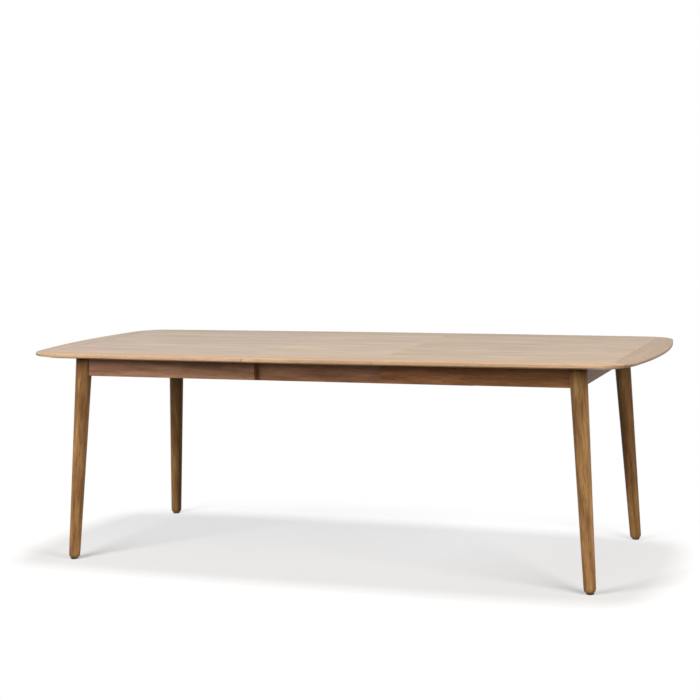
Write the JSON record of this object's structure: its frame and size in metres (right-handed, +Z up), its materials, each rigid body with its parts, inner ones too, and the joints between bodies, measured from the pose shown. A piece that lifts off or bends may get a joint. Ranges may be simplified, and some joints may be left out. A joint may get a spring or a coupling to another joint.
{
  "type": "extendable dining table",
  "caption": "Long dining table with a bowed, bevelled wooden top, four splayed turned legs, and two halves that slide apart round a loose leaf.",
  "frame": {"origin": "on the floor under the middle of the table, leaf in place", "axes": "+X along the table's length, +Y across it towards the back, +Z up"},
  "size_m": [2.23, 1, 0.75],
  "materials": {
    "pale_oak_veneer": "oak veneer, matt lacquer, grain along the table",
    "solid_oak_edge": "solid oak lipping, matt lacquer",
    "brown_oak": "stained solid oak, matt lacquer",
    "beech": "planed beech, unfinished",
    "zinc_steel": "zinc plated",
    "white_nylon": "moulded nylon",
    "dark_nylon": "moulded nylon"
  },
  "bodies": {
    "centre_frame": {"front_rail": "brown_oak", "back_rail": "brown_oak", "left_cross_rail": "beech", "right_cross_rail": "beech", "gear_board": "beech", "rack_guides": "white_nylon", "frame_screws": "zinc_steel", "leaf_pads": "dark_nylon", "pinion_axle": "zinc_steel"},
    "left_half": {"left_field": "pale_oak_veneer", "left_front_border": "solid_oak_edge", "left_back_border": "solid_oak_edge", "left_end_border": "solid_oak_edge", "left_front_apron": "brown_oak", "left_back_apron": "brown_oak", "left_end_apron": "brown_oak", "left_front_leg": "brown_oak", "left_back_leg": "brown_oak", "left_glides": "dark_nylon", "left_corner_blocks": "beech", "left_leg_bolts": "zinc_steel", "left_leg_nuts": "zinc_steel", "left_runners": "beech", "left_clips": "zinc_steel", "left_screws": "zinc_steel", "left_rack_block": "beech", "left_rack": "zinc_steel", "left_latch_pivots": "zinc_steel"},
    "right_half": {"right_field": "pale_oak_veneer", "right_front_border": "solid_oak_edge", "right_back_border": "solid_oak_edge", "right_end_border": "solid_oak_edge", "right_front_apron": "brown_oak", "right_back_apron": "brown_oak", "right_end_apron": "brown_oak", "right_front_leg": "brown_oak", "right_back_leg": "brown_oak", "right_glides": "dark_nylon", "right_corner_blocks": "beech", "right_leg_bolts": "zinc_steel", "right_leg_nuts": "zinc_steel", "right_runners": "beech", "right_clips": "zinc_steel", "right_screws": "zinc_steel", "right_rack_block": "beech", "right_rack": "zinc_steel", "right_studs": "zinc_steel"},
    "pinion": {"pinion": "white_nylon"},
    "leaf": {"leaf_field": "pale_oak_veneer", "leaf_front_border": "solid_oak_edge", "leaf_back_border": "solid_oak_edge", "leaf_battens": "beech", "leaf_pins": "beech", "leaf_studs": "zinc_steel", "leaf_screws": "zinc_steel", "right_latch_pivots": "zinc_steel"},
    "left_front_latch": {"left_front_latch": "zinc_steel"},
    "left_back_latch": {"left_back_latch": "zinc_steel"},
    "right_front_latch": {"right_front_latch": "zinc_steel"},
    "right_back_latch": {"right_back_latch": "zinc_steel"}
  },
  "joints": [
    {"name": "left_slide", "type": "slide", "parent": "centre_frame", "child": "left_half", "axis": [-1, 0, 0], "range_m": [0, 0.03]},
    {"name": "right_slide", "type": "slide", "parent": "centre_frame", "child": "right_half", "axis": [1, 0, 0], "range_m": [0, 0.03]},
    {"name": "pinion_spin", "type": "hinge", "parent": "centre_frame", "child": "pinion", "pos_m": [0, 0, 0.6945], "axis": [0, 0, -1], "range_deg": [0, 71.63]},
    {"name": "leaf_lift", "type": "slide", "parent": "centre_frame", "child": "leaf", "axis": [0, 0, 1], "range_m": [0, 0.2]},
    {"name": "left_front_latch_turn", "type": "hinge", "parent": "left_half", "child": "left_front_latch", "pos_m": [-0.256, -0.2, 0.7255], "axis": [0, 0, -1], "range_deg": [0, 90]},
    {"name": "left_back_latch_turn", "type": "hinge", "parent": "left_half", "child": "left_back_latch", "pos_m": [-0.256, 0.2, 0.7255], "axis": [0, 0, 1], "range_deg": [0, 90]},
    {"name": "right_front_latch_turn", "type": "hinge", "parent": "leaf", "child": "right_front_latch", "pos_m": [0.204, -0.2, 0.7255], "axis": [0, 0, -1], "range_deg": [0, 90]},
    {"name": "right_back_latch_turn", "type": "hinge", "parent": "leaf", "child": "right_back_latch", "pos_m": [0.204, 0.2, 0.7255], "axis": [0, 0, 1], "range_deg": [0, 90]}
  ],
  "couplings": [
    {"joint": "right_slide", "follows": "left_slide", "ratio": 1},
    {"joint": "pinion_spin", "follows": "left_slide", "rad_per_m": 41.667}
  ]
}
